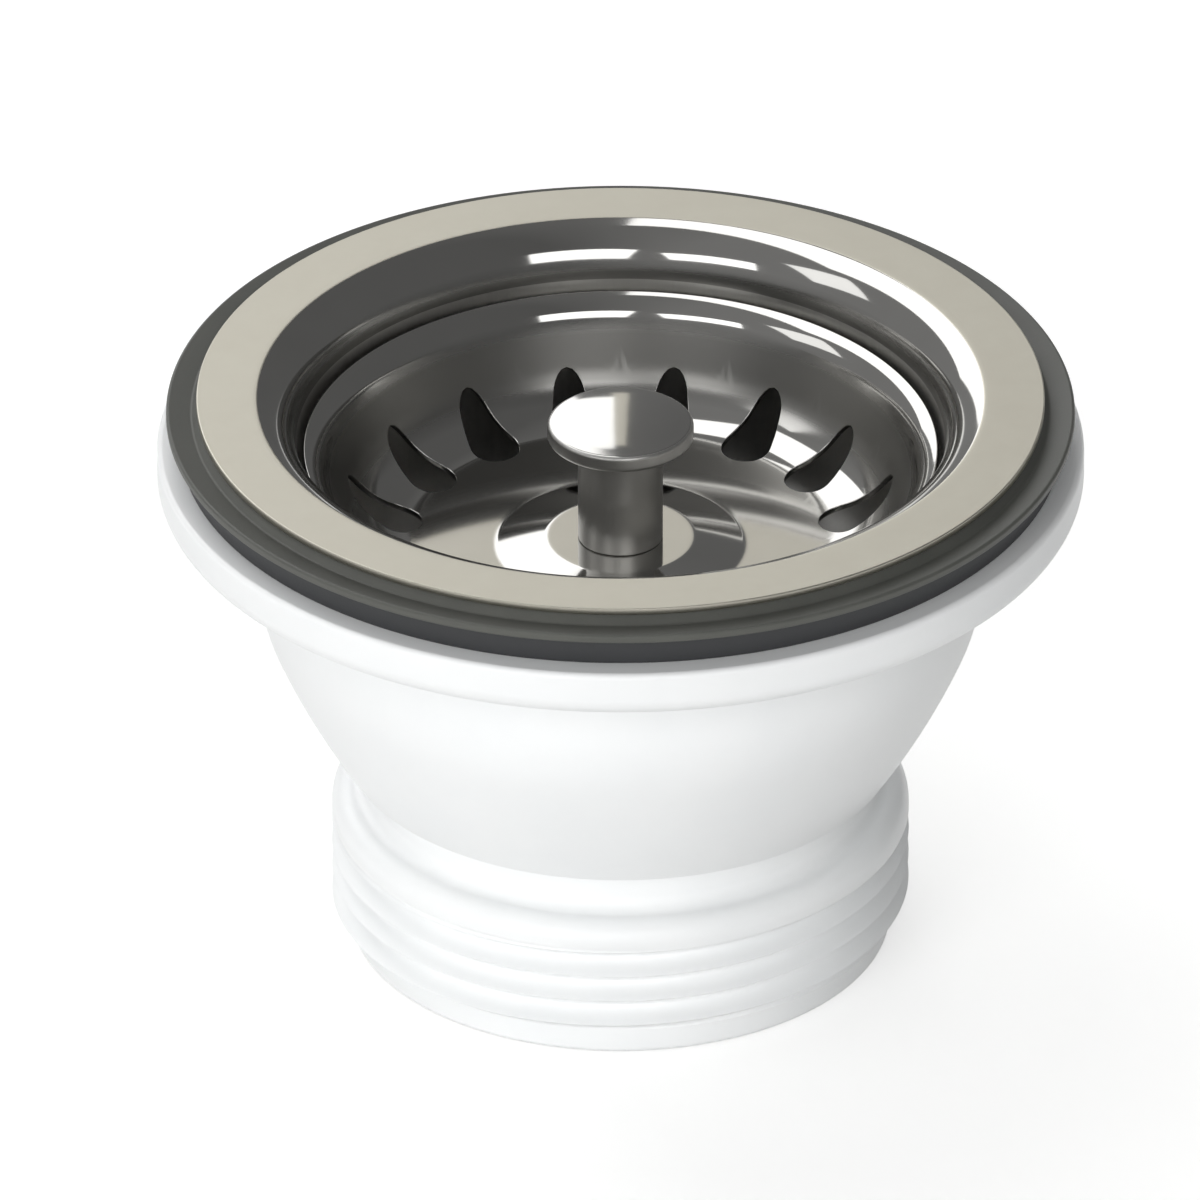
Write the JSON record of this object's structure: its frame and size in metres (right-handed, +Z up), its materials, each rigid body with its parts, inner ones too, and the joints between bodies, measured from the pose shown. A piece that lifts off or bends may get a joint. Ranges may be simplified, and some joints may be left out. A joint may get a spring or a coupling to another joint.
{
  "type": "basket strainer waste",
  "caption": "Sink basket strainer waste: steel flange and bowl over a white plastic cup with a threaded outlet, rubber gaskets, and a lift-out slotted basket with a knob and stopper.",
  "frame": {"origin": "on the axis of the waste, in the plane of the outlet's lower end", "axes": "+Z up along the axis, from the outlet towards the flange; X and Y across the flange"},
  "size_m": [0.0766, 0.0766, 0.0496],
  "materials": {
    "white_polypropylene": "moulded white polypropylene with a soft sheen",
    "brass": "turned",
    "black_rubber": "moulded matt rubber",
    "grey_rubber": "moulded dark grey rubber",
    "satin_stainless": "pressed stainless sheet, satin flange and polished bowl",
    "polished_stainless": "polished",
    "stainless_fastener": "plain turned and stamped"
  },
  "bodies": {
    "waste": {"body": "white_polypropylene", "insert_nut": "brass", "lower_gasket": "black_rubber", "upper_gasket": "grey_rubber", "flange_bowl": "satin_stainless", "centre_screw": "stainless_fastener"},
    "basket": {"basket": "polished_stainless", "knob": "polished_stainless", "backing_washer": "stainless_fastener", "stopper_seal": "black_rubber", "clamp_washer": "stainless_fastener", "lock_nut": "stainless_fastener", "catch_ring": "black_rubber"}
  },
  "joints": [
    {"name": "basket_lift", "type": "slide", "parent": "waste", "child": "basket", "axis": [0, 0, 1], "range_m": [0, 0.045]}
  ]
}
